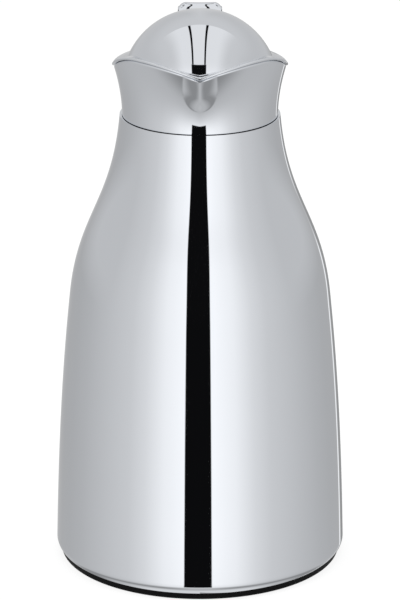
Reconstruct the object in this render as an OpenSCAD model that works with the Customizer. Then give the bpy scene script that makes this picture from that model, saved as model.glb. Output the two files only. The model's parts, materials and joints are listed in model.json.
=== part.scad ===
// Vacuum jug: a double-walled glass liner in a spun chrome body, a flared collar drawn out to a
// pouring beak, a domed lid with a matching beak on a sprung rear hinge, and a loop handle.
// Millimetres, +Z up. The beak points along -Y and the handle along +Y. The origin is on the jug's
// axis, in the plane that it stands on.

/* [Body shell] */
// Largest radius of the body, just above the foot
body_r = 69; // [66:0.5:73]
// Height of the widest point above the table
widest_z = 9; // [8:0.5:12]
// Radius at which the tall wall turns into the shoulder
shoulder_r = 61.6; // [60:0.2:64]
// Height at which the tall wall turns into the shoulder
shoulder_z = 130; // [124:1:138]
// Radius of the body's neck
neck_r = 37.5; // [36.5:0.1:39]
// Height of the body's top edge
body_top = 217.5; // [212:0.5:224]
// Wall of the spun shell
shell_wall = 1.2; // [0.8:0.1:1.8]

/* [Base] */
// Height of the black foot that shows below the shell
foot_h = 3.3; // [2.5:0.1:5]
// Radius of the foot where it stands on the table
foot_r = 67; // [65:0.5:67.5]
// Height of the foot's upstand inside the shell
foot_upstand = 9; // [6:0.5:14]
// Radius of the screwed plate that closes the base
base_plate_r = 55; // [50:0.5:58]
// Thickness of the base plate
base_plate_t = 2.5; // [1.5:0.1:4]
// How far the base plate is set up from the table
base_recess = 2; // [1:0.1:3]
// Outer radius of the rubber cushion under the liner
cushion_r = 40; // [34:0.5:46]

/* [Glass liner] */
// Clear space between the glass liner and the head of the handle's lower screw
liner_air = 1.6; // [1:0.1:5]
// Height of the liner's underside
liner_z = 19; // [17:0.5:24]
// Thickness of each glass wall
glass_wall = 1.8; // [1.2:0.1:2.2]
// Evacuated gap between the two glass walls in the body of the liner
vacuum_gap = 4; // [3:0.5:6]
// Evacuated gap between the two glass walls in the neck
neck_vacuum_gap = 1.4; // [1:0.1:2]
// Thickness of the silicone seal on the liner's mouth
mouth_seal_t = 1.5; // [1:0.1:2.5]

/* [Collar] */
// Step in from the body's neck to the collar
seam_step = 0.9; // [0.5:0.1:1.5]
// Width of the dark seam between body and collar
seam_gap = 0.8; // [0.5:0.1:1.5]
// Wall of the collar
collar_wall = 1.8; // [1.2:0.1:2.4]
// Height of the collar's lip at the rear, above the seam
collar_h = 21.4; // [19:0.2:24]
// Outward flare of the collar at its rear lip
flare = 3.4; // [2.4:0.1:4.2]
// Rise of the lip from the rear to the front shoulders
lip_rise = 9.95; // [7:0.05:11]
// Distance from the axis to the beak's tip
beak_reach = 42.5; // [41.5:0.1:45]
// Drop of the lip from the shoulders to the beak's tip
beak_droop = 5.25; // [4:0.05:6]
// Depth of the spout's belly under the beak
belly_depth = 1.6; // [0.8:0.1:2.4]
// Half width of the spout's belly
belly_half_w = 7.9; // [6:0.1:11]

/* [Lid] */
// Running gap between the lid's rim and the collar's lip
lid_gap = 0.4; // [0.3:0.05:0.8]
// Wall of the domed lid
lid_wall = 1.5; // [1.1:0.1:2]
// Overhang of the lid's rim beyond the collar's lip
rim_overhang = 1; // [0.6:0.1:1.6]
// Thickness of the lid's rim at the rear
rim_t = 2.8; // [2.2:0.1:3.4]
// Angle from the dome's top down to its crease at the rear
rear_crease_a = 63.5; // [62:0.1:64.5]
// The same angle at the sides of the beak
side_crease_a = 59.9; // [58:0.1:62]
// The same angle at the beak's tip
tip_crease_a = 65.6; // [64:0.1:66.5]
// Radius of the stud that carries the stopper
stud_r = 3; // [2:0.1:4]

/* [Stopper] */
// Bottom radius of the stopper
stopper_r = 19.5; // [16:0.5:20.5]
// Gap between the stopper's cone and the pouring funnel
stopper_gap = 1.6; // [1.2:0.1:2.4]
// Wall of the stopper cup
stopper_wall = 1.6; // [1.2:0.1:2.2]

/* [Hinge] */
// Distance from the collar's wall to the hinge pin
hinge_back = 8.9; // [8.5:0.1:11]
// Height of the hinge pin above the collar's rear lip
hinge_up = 1.3; // [0.8:0.1:2.2]
// Radius of the hinge pin
pin_r = 1.5; // [1.2:0.1:1.9]
// Radius of the hinge's knuckle and ears
knuckle_r = 4; // [3.6:0.1:4.3]
// Width of the thumb lever
lever_w = 21; // [19:0.5:23]
// Height of the thumb lever's top above the hinge pin
lever_h = 16.6; // [15:0.1:21]
// Wire radius of the lid's spring
wire_r = 0.45; // [0.3:0.05:0.5]

/* [Handle] */
// Distance from the axis to the handle's centreline at its widest
handle_reach = 106; // [98:1:116]
// Height of the handle's upper end
handle_top_z = 225.5; // [223.5:0.5:227]
// Height of the handle's lower end
handle_low_z = 88; // [76:1:100]
// Width of the handle at the grip
handle_w = 22; // [18:0.5:24]
// Thickness of the handle at the grip
handle_t = 10; // [8:0.5:11]
// Radius of the shank of the handle's screws
screw_r = 1.9; // [1.5:0.1:2.2]

/* [Hidden] */
$fn = 96;

// Small clearances
fit = 0.1;
soft_fit = 0.3;
thread_gap = 0.2;
running = 0.05;
pin_fit = 0.01;

// ---- Curves ----
function smooth(t) = let (u = min(max(t, 0), 1)) u * u * (3 - 2 * u);
function unit(v) = v / norm(v);
function bez(p, t) = let (s = 1 - t) s*s*s*p[0] + 3*s*s*t*p[1] + 3*s*t*t*p[2] + t*t*t*p[3];
function bez_dir(p, t) = let (s = 1 - t)
    unit(s*s*(p[1] - p[0]) + 2*s*t*(p[2] - p[1]) + t*t*(p[3] - p[2]));
// Points along a curve, each set d to its left
function bez_line(p, n, d) = [for (i = [0:n]) let (t = i / n, v = bez_dir(p, t))
    bez(p, t) + d * [-v.y, v.x]];
function flip(list) = [for (i = [len(list) - 1:-1:0]) list[i]];

// ---- Body outline: a tall wall, then an S-shaped shoulder up to the neck ----
wall_h = shoulder_z - widest_z;
neck_h = body_top - shoulder_z;
shoulder_lean = 0.106;
wall_curve = [
    [body_r, widest_z],
    [body_r - 0.2 * (body_r - shoulder_r), widest_z + 0.5 * wall_h],
    [shoulder_r + shoulder_lean * 0.22 * wall_h, shoulder_z - 0.22 * wall_h],
    [shoulder_r, shoulder_z]
];
shoulder_curve = [
    [shoulder_r, shoulder_z],
    [shoulder_r - shoulder_lean * 0.43 * neck_h, shoulder_z + 0.43 * neck_h],
    [neck_r + 0.045 * neck_h, body_top - 0.5 * neck_h],
    [neck_r, body_top]
];
foot_tuck = 1.1;
foot_curve = [for (i = [0:4]) let (t = i / 4)
    [body_r - foot_tuck * pow(1 - t, 4), foot_h + t * (widest_z - foot_h)]];
wall_n = 16;
shoulder_n = 24;
// The shell's surface, set inward by d
function shell_line(d) = concat(
    [for (p = foot_curve) p - [d, 0]],
    [for (i = [1:wall_n]) bez_line(wall_curve, wall_n, d)[i]],
    [for (i = [1:shoulder_n]) bez_line(shoulder_curve, shoulder_n, d)[i]]
);
// Radius of the shell's surface at a height
function shell_r(z) = lookup(z, [for (p = shell_line(0)) [p.y, p.x]]);

// ---- Neck stack, from the shell inward ----
collar_r = neck_r - seam_step;
collar_z = body_top + seam_gap;
ring_r = neck_r - shell_wall - fit;
ring_wall = 3.2;
spigot_r = ring_r - ring_wall - thread_gap;
insert_wall = 1.8;
spigot_bore = spigot_r - insert_wall;
liner_play = 1.2;
liner_neck_r = spigot_bore - liner_play;
liner_bore = liner_neck_r - 2 * glass_wall - neck_vacuum_gap;
tube_play = 0.6;
tube_wall = 1.6;
tube_r = liner_bore - tube_play;
throat_r = tube_r - tube_wall;
spigot_h = 13.5;
seal_z = collar_z - 4.8;
liner_top = seal_z - mouth_seal_t;
insert_r = collar_r - collar_wall - thread_gap;
insert_top = collar_z + 13.2;
funnel_z = seal_z + 1.5;
funnel_r = insert_r - 1.4;
function funnel_at(z) = throat_r + (funnel_r - throat_r) * (z - funnel_z) / (insert_top - funnel_z);

// ---- Collar: a flare whose lip climbs to two shoulders and dips again to the beak's tip ----
rear_lip_z = collar_z + collar_h;
rear_lip_r = collar_r + flare;
flare_z = collar_z + 4.7;
flare_power = 1.9;
// Angles from the front between which the lip climbs
rise_start_a = 93;
rise_end_a = 45;
rise_power = 0.65;
// Angle from the front at which the lip begins to dip to the beak's tip
shoulder_a = 40;
dip_power = 1.65;
reach_power = 1.3;
beak_power = 1.7;
function from_front(a) = a > 180 ? 360 - a : a;
// Share of the way from a shoulder (0) to the beak's tip (1)
function to_tip(a) = a < shoulder_a ? 1 - sin(a) / sin(shoulder_a) : 0;
function lip_z(a) = rear_lip_z - beak_droop * pow(to_tip(a), dip_power)
    + lip_rise * pow(smooth((rise_start_a - a) / (rise_start_a - rise_end_a)), rise_power);
function lip_r(a) = rear_lip_r + (beak_reach - rear_lip_r) * pow(to_tip(a), reach_power);
// The spout's belly: a U-shaped swelling under the beak, which fades out below the lip
belly_z = collar_z + 10.4;
function belly(a, r, z) = let (
        t = max(z - belly_z, 0) / (lip_z(a) - belly_z),
        w = belly_half_w * sqrt(1 - pow(1 - min(t / 0.6, 1), 2)),
        x = r * sin(a)
    ) a > 90 || x >= w ? 0
    : belly_depth * (1 - pow(x / w, 2)) * sin(90 * min(t / 0.4, 1)) * (1 - smooth((t - 0.6) / 0.4));
function collar_out(a, z) = let (
        t = max(z - flare_z, 0) / (lip_z(a) - flare_z),
        r = collar_r + flare * pow(t, flare_power) + (lip_r(a) - rear_lip_r) * pow(t, beak_power)
    ) r + belly(a, r, z);
function collar_in(a, z) = collar_out(a, z) - collar_wall;

// ---- Lofts: rings of points round the axis, joined by triangles ----
cols = 96;
function around(j) = 360 * j / cols;
function spin(a, p) = [p.x * sin(a), -p.x * cos(a), p.y];
function band_faces(lower, upper) = [for (j = [0:cols - 1]) let (k = (j + 1) % cols)
    each [[lower + j, upper + j, upper + k], [lower + j, upper + k, lower + k]]];
function tube_faces(rows) = [for (i = [0:rows - 1])
    each band_faces(i * cols, ((i + 1) % rows) * cols)];

// ---- Lid: a round dome in a brim that follows the collar's lip ----
dome_r = collar_r;
dome_z = rear_lip_z - 9.45;
// Share of the rear's sloping brim that there is at an angle from the front
function rear_share(a) = smooth((a - 42) / (92 - 42));
function rim_h(a) = rim_t - 1 * (1 - rear_share(a));
function rim_z(a) = lip_z(a) + lid_gap;
// Angle from the dome's top down to the crease where it meets the brim
function crease_a(a) = side_crease_a + (rear_crease_a - side_crease_a) * smooth((a - 67) / (92 - 67))
    + (tip_crease_a - side_crease_a) * to_tip(a);
function dome_at(v, r) = [r * sin(v), dome_z + r * cos(v)];
function crease(a) = dome_at(crease_a(a), dome_r);
// The same crease on the inside, where the wall thickens towards the brim
function crease_in(a) = crease(a) - [lid_wall, lid_wall + 0.15 + 0.55 * rear_share(a)];
swell_start_a = 21;
// A point inside the dome, eased from the round part out to the inner crease
function inner_dome_at(a, v) = let (
        r = dome_r - lid_wall,
        g = pow(max(v - swell_start_a, 0) / (crease_a(a) - swell_start_a), 2)
    ) dome_at(v, r) + g * (crease_in(a) - dome_at(crease_a(a), r));
dome_n = 9;
function lid_section(a) = let (
        out = lip_r(a),
        z = rim_z(a),
        h = rim_h(a),
        v = crease_a(a) / dome_n
    ) concat(
    [for (i = [1:dome_n]) inner_dome_at(a, v * i)],
    [[out - 1.6, z], [out + 0.3 * rim_overhang, z], [out + rim_overhang, z + 0.35 * h],
     [out + 0.75 * rim_overhang, z + 0.75 * h], [out - 0.2, z + h]],
    [for (i = [dome_n:-1:1]) dome_at(v * i, dome_r)]
);

// ---- Hinge and lever ----
hinge_y = collar_r + hinge_back;
hinge_z = rear_lip_z + hinge_up;
ear_w = 4;
ear_in = 8.5;
ear_out = ear_in + ear_w;
knuckle_half = ear_in - 0.4;
spring_half = 3.8;
coil_r = pin_r + wire_r + 0.35;
bracket_y = hinge_y + 1;
bracket_low = handle_top_z - 6.5;
bracket_top = hinge_z - knuckle_r - 1;
lever_top = hinge_z + lever_h;
lever_screw_r = 1.4;
lever_screw_a = 8.5;
lever_screw_l = 6.5;
// The lever's screws stand square on the underside of the rear brim
brim_inner = crease_in(180);
brim_outer = [lip_r(180) - 1.6, rim_z(180)];
brim_tilt = atan2(brim_inner.y - brim_outer.y, brim_outer.x - brim_inner.x);

// ---- Stopper ----
stopper_z = funnel_z - 0.5;
stopper_top = insert_top - 1.2;
// Floor of the socket that the stud stands in
stud_seat_z = stopper_z + 12;
pan_z = rear_lip_z + 0.8;
pan_t = 3.2;
pan_r = crease_in(180).x - soft_fit;
function cone_at(z) = funnel_at(z) - stopper_gap;
stopper_seal_z = stopper_z + 6.5;

// ---- Handle: two curves from the bracket out to the grip and back to the body ----
foot_pad_y = shell_r(handle_low_z) + 5;
handle_mid_z = handle_top_z - 46;
// How far each curve runs on in line with its ends
top_lead = 30;
grip_lead = 40;
foot_lead = 26;
upper_curve = [
    [bracket_y, handle_top_z],
    [bracket_y + top_lead, handle_top_z + 1],
    [handle_reach - 1, handle_top_z - 8],
    [handle_reach, handle_mid_z]
];
lower_curve = [
    [handle_reach, handle_mid_z],
    [handle_reach + 1, handle_mid_z - grip_lead],
    [foot_pad_y + foot_lead, handle_low_z + 6],
    [foot_pad_y, handle_low_z]
];
handle_n = 12;
section_n = 20;
handle_screw_x = 5.5;
handle_screw_grip = 12;
foot_screw_grip = 8;
screw_head_r = 2.8;
screw_head_t = 1.3;
// The heads of the upper screws seat inside the collar
screw_seat_y = sqrt(pow(collar_r - collar_wall, 2) - pow(handle_screw_x + screw_head_r, 2)) - fit;

// Everything outside the jug's collar and lid at the rear, for shaping what seats on them
module rear_outline(gap) {
    rotate_extrude() polygon(concat(
        [[0, collar_z - 20], [collar_r + gap, collar_z - 20]],
        [for (i = [0:10]) let (z = flare_z + (rear_lip_z - flare_z) * i / 10) [collar_out(180, z) + gap, z]],
        [[0, rear_lip_z]]
    ));
}

module lid_outline(gap) {
    rotate_extrude() polygon(concat(
        [[0, rear_lip_z - 5], [lip_r(180) + rim_overhang + gap, rear_lip_z - 5]],
        [for (p = [[lip_r(180) + rim_overhang, rim_z(180) + 0.35 * rim_t],
            [lip_r(180) + 0.75 * rim_overhang, rim_z(180) + 0.75 * rim_t],
            [lip_r(180) - 0.2, rim_z(180) + rim_t]]) p + [gap, gap]],
        [for (i = [0:12]) dome_at(rear_crease_a * (1 - i / 12), dome_r + gap)]
    ));
}

// ---- Body pieces ----
module outer_shell() {
    color("silver") difference() {
        rotate_extrude() polygon(concat(shell_line(0), flip(shell_line(shell_wall))));
        along_y([0, 0, handle_low_z]) cylinder(r = screw_r + fit, h = foot_pad_y);
    }
}

// Stands a child that is built along Z at a point, pointing along +Y
module along_y(p) {
    translate(p) rotate([-90, 0, 0]) children();
}

module base_ring() {
    in = base_plate_r + thread_gap;
    up = body_r - foot_tuck - shell_wall - soft_fit;
    top = foot_h + foot_upstand;
    color("dimgray") rotate_extrude() polygon([
        [in, 0.8], [in + 0.8, 0], [foot_r - 0.8, 0], [foot_r, 0.8], [foot_r + 0.3, foot_h - 0.1],
        [up, foot_h - 0.1], [up, top], [up - 2, top], [up - 2, foot_h + 1.5], [in + 2.5, foot_h + 1.5],
        [in + 2.5, top], [in, top]
    ]);
}

module base_plate() {
    wall = 2;
    top = foot_h + foot_upstand;
    color("dimgray") difference() {
        rotate_extrude() polygon([
            [0, base_recess], [base_plate_r, base_recess], [base_plate_r, top], [base_plate_r - wall, top],
            [base_plate_r - wall, base_recess + base_plate_t], [0, base_recess + base_plate_t]
        ]);
        // Two finger grips for unscrewing the plate
        for (s = [-1, 1]) translate([s * 32, 0, base_recess - 1])
            linear_extrude(2.2) grip_outline(26, 5);
    }
}

module grip_outline(l, r) {
    square([2 * r, l], center = true);
    for (s = [-1, 1]) translate([0, s * l / 2]) circle(r);
}

// The liner keeps clear of the head of the handle's lower screw
liner_r = shell_r(handle_low_z) - shell_wall - soft_fit - screw_head_t - liner_air;
liner_dish = 0.42 * liner_r;
liner_wall_top = shoulder_z - 32;
// Outline of the liner set in by d, from the axis at the bottom to the mouth
function liner_line(d, neck) = concat(
    [for (i = [0:12]) let (t = 90 * i / 12)
        [(liner_r - d) * sin(t), liner_z + liner_dish - (liner_dish - d) * cos(t)]],
    [for (i = [1:16]) bez([
        [liner_r - d, liner_wall_top],
        [liner_r - d - 1, liner_wall_top + 50],
        [neck + 6, body_top - 47],
        [neck, body_top - 18]
    ], i / 16)]
);

module glass_liner() {
    gap_out = glass_wall;
    gap_in = glass_wall + vacuum_gap;
    inner = gap_in + glass_wall;
    neck_out = liner_neck_r - glass_wall;
    neck_in = liner_bore + glass_wall;
    mouth = liner_top - glass_wall;
    color("lightcyan") rotate_extrude() difference() {
        polygon(concat(liner_line(0, liner_neck_r), [[liner_neck_r, liner_top], [liner_bore, liner_top]],
            flip(liner_line(inner, liner_bore))));
        polygon(concat(liner_line(gap_out, neck_out), [[neck_out, mouth], [neck_in, mouth]],
            flip(liner_line(gap_in, neck_in))));
    }
}

module liner_cushion() {
    low = base_recess + base_plate_t;
    out = cushion_r;
    in = cushion_r / 2;
    // The seat follows the liner's dished underside
    color("dimgray") rotate_extrude() polygon(concat(
        [[in, low], [out, low]],
        [for (i = [0:6]) let (r = out - (out - in) * i / 6)
            [r, liner_z + liner_dish - liner_dish * sqrt(1 - pow(r / liner_r, 2)) - soft_fit]]
    ));
}

module mouth_seal() {
    color("whitesmoke") rotate_extrude() translate([liner_bore + 0.4, liner_top])
        square([spigot_bore - liner_bore - 0.8, mouth_seal_t]);
}

module neck_ring() {
    color("dimgray") rotate_extrude() translate([ring_r - ring_wall, collar_z - spigot_h])
        square([ring_wall, spigot_h]);
}

// Screws that hold the bracket and the handle to the collar
module at_handle_screws() {
    for (s = [-1, 1]) translate([s * handle_screw_x, 0, handle_top_z]) children();
}

module collar() {
    top = [0, 0.14, 0.28, 0.42, 0.54, 0.65, 0.75, 0.84, 0.92, 0.97];
    low = [0.97, 0.84, 0.7, 0.54, 0.36, 0.18, 0];
    function at(a, t) = collar_z + t * (lip_z(a) - collar_z);
    rings = concat(
        [for (t = top) [for (j = [0:cols - 1]) let (a = around(j), f = from_front(a), z = at(f, t))
            spin(a, [collar_out(f, z), z])]],
        [[for (j = [0:cols - 1]) let (a = around(j), f = from_front(a))
            spin(a, [lip_r(f) - 0.5, lip_z(f)])]],
        [for (t = low) [for (j = [0:cols - 1]) let (a = around(j), f = from_front(a), z = at(f, t))
            spin(a, [collar_in(f, z), z])]]
    );
    color("silver") difference() {
        polyhedron([for (r = rings) each r], tube_faces(len(rings)), convexity = 6);
        at_handle_screws() along_y([0, 0, 0]) cylinder(r = screw_r + fit, h = hinge_y);
    }
}

module pour_insert() {
    color("dimgray") difference() {
        rotate_extrude() polygon([
            [throat_r, collar_z - spigot_h], [tube_r, collar_z - spigot_h], [tube_r, seal_z],
            [spigot_bore, seal_z], [spigot_bore, collar_z - spigot_h + 1],
            [spigot_r, collar_z - spigot_h + 1], [spigot_r, collar_z], [insert_r, collar_z],
            [insert_r, insert_top], [funnel_r, insert_top], [throat_r, funnel_z]
        ]);
        // Relief for the heads of the handle's screws
        at_handle_screws() along_y([0, screw_seat_y - screw_head_t - soft_fit, 0])
            cylinder(r = screw_head_r + soft_fit, h = 10);
    }
}

module hinge_bracket() {
    color("silver") difference() {
        union() {
            translate([0, bracket_y, 0]) rotate([90, 0, 0])
                linear_extrude(bracket_y - collar_r + 4) bracket_outline();
            for (s = [-1, 1]) translate([s * (ear_in + ear_w / 2), 0, 0]) ear();
        }
        rear_outline(fit);
        lid_sweep();
        translate([-ear_out - 1, hinge_y, hinge_z]) rotate([0, 90, 0])
            cylinder(r = pin_r + pin_fit, h = 2 * ear_out + 2);
        at_handle_screws() along_y([0, 0, 0]) cylinder(r = screw_r + fit, h = bracket_y + 1);
    }
}

// The bracket from the rear: a block with rounded lower corners
module bracket_outline() {
    r = 4;
    translate([-ear_out, bracket_low + r]) square([2 * ear_out, bracket_top - bracket_low - r]);
    translate([-ear_out + r, bracket_low]) square([2 * (ear_out - r), r + 1]);
    for (s = [-1, 1]) translate([s * (ear_out - r), bracket_low + r]) circle(r);
}

module ear() {
    rotate([90, 0, 90]) linear_extrude(ear_w, center = true) {
        translate([hinge_y, hinge_z]) circle(knuckle_r);
        translate([hinge_y - knuckle_r, bracket_top - 1])
            square([2 * knuckle_r - 3, hinge_z - bracket_top + 1]);
    }
}

// Room for the lid's rim in front of the ears
module lid_sweep() {
    translate([0, 0, rear_lip_z]) cylinder(r = lip_r(180) + rim_overhang + 0.3, h = 10);
}

module hinge_pin() {
    color("gainsboro") translate([-ear_out - 0.4, hinge_y, hinge_z]) rotate([0, 90, 0])
        cylinder(r = pin_r, h = 2 * ear_out + 0.8);
}

// Coil round the pin, with one leg down on the bracket and one up under the lever
module lid_spring() {
    turns = 5.5;
    per_turn = 12;
    sides = 6;
    half = spring_half - wire_r - 0.3;
    steps = turns * per_turn;
    path = concat(
        [[-half, -coil_r, -(hinge_z - bracket_top - wire_r - 0.05)]],
        [for (i = [0:steps]) let (a = 180 + 360 * i / per_turn)
            [-half + 2 * half * i / steps, coil_r * cos(a), -coil_r * sin(a)]],
        [[half, coil_r + 0.9, 2.9]]
    );
    color("gainsboro") translate([0, hinge_y, hinge_z])
        wire(path, wire_r, sides);
}

// A round wire along a path that winds about X
module wire(path, r, sides) {
    n = len(path);
    function along(i) = unit(path[min(i + 1, n - 1)] - path[max(i - 1, 0)]);
    rings = [for (i = [0:n - 1]) let (
            t = along(i),
            u = unit(cross(t, [1, 0, 0])),
            v = cross(t, u)
        ) for (k = [0:sides - 1]) path[i] + r * (cos(360 * k / sides) * u + sin(360 * k / sides) * v)];
    sides_f = [for (i = [0:n - 2], k = [0:sides - 1]) let (a = i * sides, b = a + sides, m = (k + 1) % sides)
        each [[a + k, a + m, b + m], [a + k, b + m, b + k]]];
    caps = [[for (k = [sides - 1:-1:0]) k], [for (k = [0:sides - 1]) (n - 1) * sides + k]];
    polyhedron(rings, concat(sides_f, caps), convexity = 10);
}

function handle_line() = concat(
    [for (i = [0:handle_n]) let (t = i / handle_n) [bez(upper_curve, t), bez_dir(upper_curve, t), t / 2]],
    [for (i = [1:handle_n]) let (t = i / handle_n)
        [bez(lower_curve, t), bez_dir(lower_curve, t), 0.5 + t / 2]]
);

module handle() {
    line = handle_line();
    n = len(line);
    // The grip is widest in the middle and slims towards both ends
    function half_w(t) = handle_w / 2 * (0.78 + 0.22 * sin(180 * t));
    function half_t(t) = handle_t / 2 * (0.84 + 0.16 * sin(180 * t));
    function corner(s) = sign(s) * pow(abs(s), 0.75);
    // End sections lie flat on what they join
    function side(i) = i == 0 ? [0, 1] : i == n - 1 ? [0, 1] : [-line[i][1].y, line[i][1].x];
    pts = [for (i = [0:n - 1], k = [0:section_n - 1]) let (
            a = 360 * k / section_n,
            p = line[i][0] + half_t(line[i][2]) * corner(sin(a)) * side(i) * (i == n - 1 ? -1 : 1)
        ) [half_w(line[i][2]) * corner(cos(a)), p.x, p.y]];
    faces = [for (i = [0:n - 2], k = [0:section_n - 1])
        let (a = i * section_n, b = a + section_n, m = (k + 1) % section_n)
        each [[a + k, a + m, b + m], [a + k, b + m, b + k]]];
    caps = [[for (k = [section_n - 1:-1:0]) k], [for (k = [0:section_n - 1]) (n - 1) * section_n + k]];
    color("silver") difference() {
        polyhedron(pts, concat(faces, caps), convexity = 6);
        at_handle_screws() along_y([0, bracket_y - 1, 0])
            cylinder(r = screw_r + fit, h = handle_screw_grip + 1);
        along_y([0, foot_pad_y - 1, handle_low_z]) cylinder(r = screw_r + fit, h = foot_screw_grip + 1);
    }
}

module handle_foot() {
    r = 8.5;
    color("silver") difference() {
        along_y([0, shell_r(handle_low_z) - 6, handle_low_z])
            cylinder(r = r, h = foot_pad_y - shell_r(handle_low_z) + 6 - fit);
        rotate_extrude() polygon(concat([[0, 3]], [for (p = shell_line(-fit)) p], [[0, body_top]]));
        along_y([0, 0, handle_low_z]) cylinder(r = screw_r + fit, h = foot_pad_y + 1);
    }
}

module screw(l) {
    cylinder(r = screw_r, h = l);
    translate([0, 0, -screw_head_t]) cylinder(r = screw_head_r, h = screw_head_t + 0.01);
}

module handle_screws() {
    color("gainsboro") at_handle_screws() along_y([0, screw_seat_y, 0])
        screw(bracket_y - screw_seat_y + handle_screw_grip - 1);
}

module foot_screw() {
    y = shell_r(handle_low_z) - shell_wall - soft_fit;
    color("gainsboro") along_y([0, y, handle_low_z]) screw(foot_pad_y - y + foot_screw_grip - 1);
}

// ---- Lid pieces ----
module lid_shell() {
    sections = [for (j = [0:cols - 1]) lid_section(from_front(around(j)))];
    rows = len(sections[0]);
    ring_pts = [for (i = [0:rows - 1], j = [0:cols - 1]) spin(around(j), sections[j][i])];
    last = rows * cols;
    pts = concat(ring_pts, [[0, 0, dome_z + dome_r - lid_wall], [0, 0, dome_z + dome_r]]);
    faces = concat(
        [for (j = [0:cols - 1]) [last, j, (j + 1) % cols]],
        [for (i = [0:rows - 2]) each band_faces(i * cols, (i + 1) * cols)],
        [for (j = [0:cols - 1]) [last + 1, last - cols + (j + 1) % cols, last - cols + j]]
    );
    color("silver") difference() {
        polyhedron(pts, faces, convexity = 6);
        at_lever_screws() translate([0, 0, -1]) cylinder(r = lever_screw_r + fit, h = lever_screw_l + 1);
    }
}

module at_lever_screws() {
    seat = (brim_inner + brim_outer) / 2;
    for (s = [-1, 1]) rotate([0, 0, s * lever_screw_a]) translate([0, seat.x, seat.y])
        rotate([-brim_tilt, 0, 0]) translate([0, 0, -fit]) children();
}

module lever_screws() {
    head_t = 1.2;
    color("gainsboro") at_lever_screws() {
        cylinder(r = lever_screw_r, h = lever_screw_l);
        translate([0, 0, -head_t]) cylinder(r = 2.1, h = head_t + 0.01);
    }
}

module dome_stud() {
    top = dome_z + dome_r - lid_wall - 0.25;
    low = stud_seat_z + stopper_wall;
    color("gainsboro") translate([0, 0, low]) cylinder(r = stud_r, h = top - low);
}

module lid_pan() {
    color("dimgray") rotate_extrude() polygon([
        [stud_r + fit, pan_z], [pan_r + 0.6, pan_z], [pan_r, pan_z + pan_t], [pan_r - 2, pan_z + pan_t],
        [pan_r - 3, pan_z + 2], [stud_r + fit, pan_z + 2]
    ]);
}

module pan_nut() {
    color("gainsboro") translate([0, 0, pan_z + 2]) difference() {
        cylinder(r = 2 * stud_r, h = stud_r, $fn = 6);
        translate([0, 0, -1]) cylinder(r = stud_r + running, h = stud_r + 2);
    }
}

module stopper_cup() {
    boss_r = stud_r + 2.5;
    groove = 1.4;
    color("dimgray") difference() {
        rotate_extrude() polygon([
            [0, stopper_z], [stopper_r, stopper_z], [stopper_r + 0.8, stopper_z + 0.8],
            [cone_at(stopper_z + 2.5), stopper_z + 2.5],
            [cone_at(stopper_seal_z - 1.5), stopper_seal_z - 1.5],
            [cone_at(stopper_seal_z - 1.5) - groove, stopper_seal_z - 1.5],
            [cone_at(stopper_seal_z + 1.5) - groove, stopper_seal_z + 1.5],
            [cone_at(stopper_seal_z + 1.5), stopper_seal_z + 1.5],
            [cone_at(stopper_top), stopper_top], [cone_at(stopper_top), pan_z],
            [cone_at(stopper_top) - stopper_wall, pan_z], [cone_at(stopper_top) - stopper_wall, stopper_top],
            [cone_at(stopper_z + 2.5) - groove - stopper_wall, stopper_z + stopper_wall],
            [boss_r, stopper_z + stopper_wall], [boss_r, stud_seat_z + 6], [stud_r + fit, stud_seat_z + 6],
            [stud_r + fit, stud_seat_z], [0, stud_seat_z]
        ]);
    }
}

module stopper_core() {
    boss_r = stud_r + 2.5 + soft_fit;
    cup_r = cone_at(stopper_top) - stopper_wall - soft_fit;
    low_r = cone_at(stopper_z + 2.5) - 1.4 - stopper_wall - soft_fit;
    low = stopper_z + stopper_wall + soft_fit;
    color("khaki") rotate_extrude() polygon([
        [boss_r, low], [low_r, low], [cup_r, stopper_top + 0.5], [cup_r, pan_z - soft_fit],
        [boss_r, pan_z - soft_fit]
    ]);
}

module stopper_seal() {
    out = funnel_at(stopper_seal_z) - soft_fit;
    color("whitesmoke") rotate_extrude() polygon([
        [cone_at(stopper_seal_z - 1.2) - 1.2, stopper_seal_z - 1.2], [out - 1.1, stopper_seal_z - 1.2],
        [out, stopper_seal_z], [out, stopper_seal_z + 0.6],
        [cone_at(stopper_seal_z + 1.2) - 1.2, stopper_seal_z + 1.2]
    ]);
}

// Side outline of the lever: a foot on the dome, a dip over the hinge and a raised thumb piece
module lever_side() {
    upper = [
        [hinge_y - 17, hinge_z + 12.2], [hinge_y - 9, hinge_z + 8.2],
        [hinge_y - 1.5, hinge_z + 7.6], [hinge_y + 7.2, lever_top + 1]
    ];
    lower = [
        [hinge_y + 10, lever_top + 1], [hinge_y + 5, hinge_z + 7],
        [hinge_y + 3.4, hinge_z + 3.4], [hinge_y + 2, hinge_z + 2.4]
    ];
    polygon(concat(bez_line(upper, 14, 0), bez_line(lower, 12, 0),
        [[hinge_y - 2, hinge_z + 1], [hinge_y - 17, hinge_z + 1]]));
}

// Front outline of the lever, with rounded upper corners
module lever_front() {
    r = 3;
    low = hinge_z - knuckle_r - 1;
    translate([-lever_w / 2, low]) square([lever_w, lever_top - r - low]);
    translate([-lever_w / 2 + r, low]) square([lever_w - 2 * r, lever_top - low]);
    for (s = [-1, 1]) translate([s * (lever_w / 2 - r), lever_top - r]) circle(r);
}

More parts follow.
